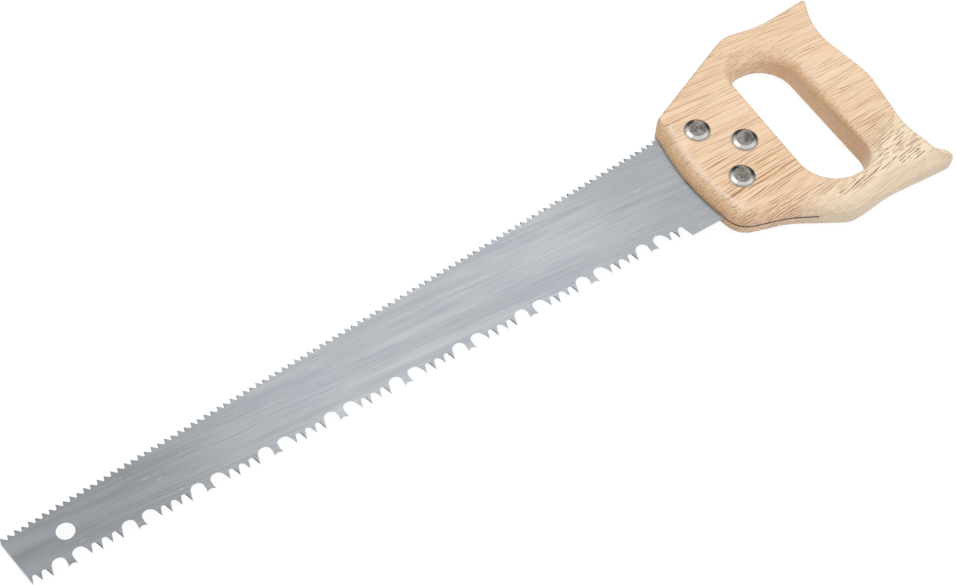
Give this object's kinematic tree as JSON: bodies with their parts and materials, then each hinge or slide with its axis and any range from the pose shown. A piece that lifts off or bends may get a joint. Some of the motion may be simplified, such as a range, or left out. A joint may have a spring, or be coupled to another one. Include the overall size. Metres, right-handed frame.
{
  "type": "orchard saw",
  "caption": "Tapered steel pruning saw with coarse lance teeth along one edge and fine teeth along the other, bolted into a wooden handle with a closed hand opening.",
  "frame": {"origin": "centre of the hang hole near the toe, in the middle of the blade's thickness", "axes": "+X along the coarse tooth line from the toe to the handle, +Y towards the fine teeth, +Z square to the blade towards the bolt heads"},
  "size_m": [0.5841, 0.1387, 0.0248],
  "materials": {
    "blade_steel": "bright spring steel, brushed lengthwise",
    "handle_wood": "pale open-pored hardwood under clear satin lacquer",
    "nickel_plate": "nickel plate, bright bevels and a duller flat middle"
  },
  "bodies": {
    "root": {"blade": "blade_steel", "handle": "handle_wood", "upper_bolt": "nickel_plate", "rear_bolt": "nickel_plate", "lower_bolt": "nickel_plate", "upper_nut": "nickel_plate", "rear_nut": "nickel_plate", "lower_nut": "nickel_plate"}
  },
  "joints": []
}
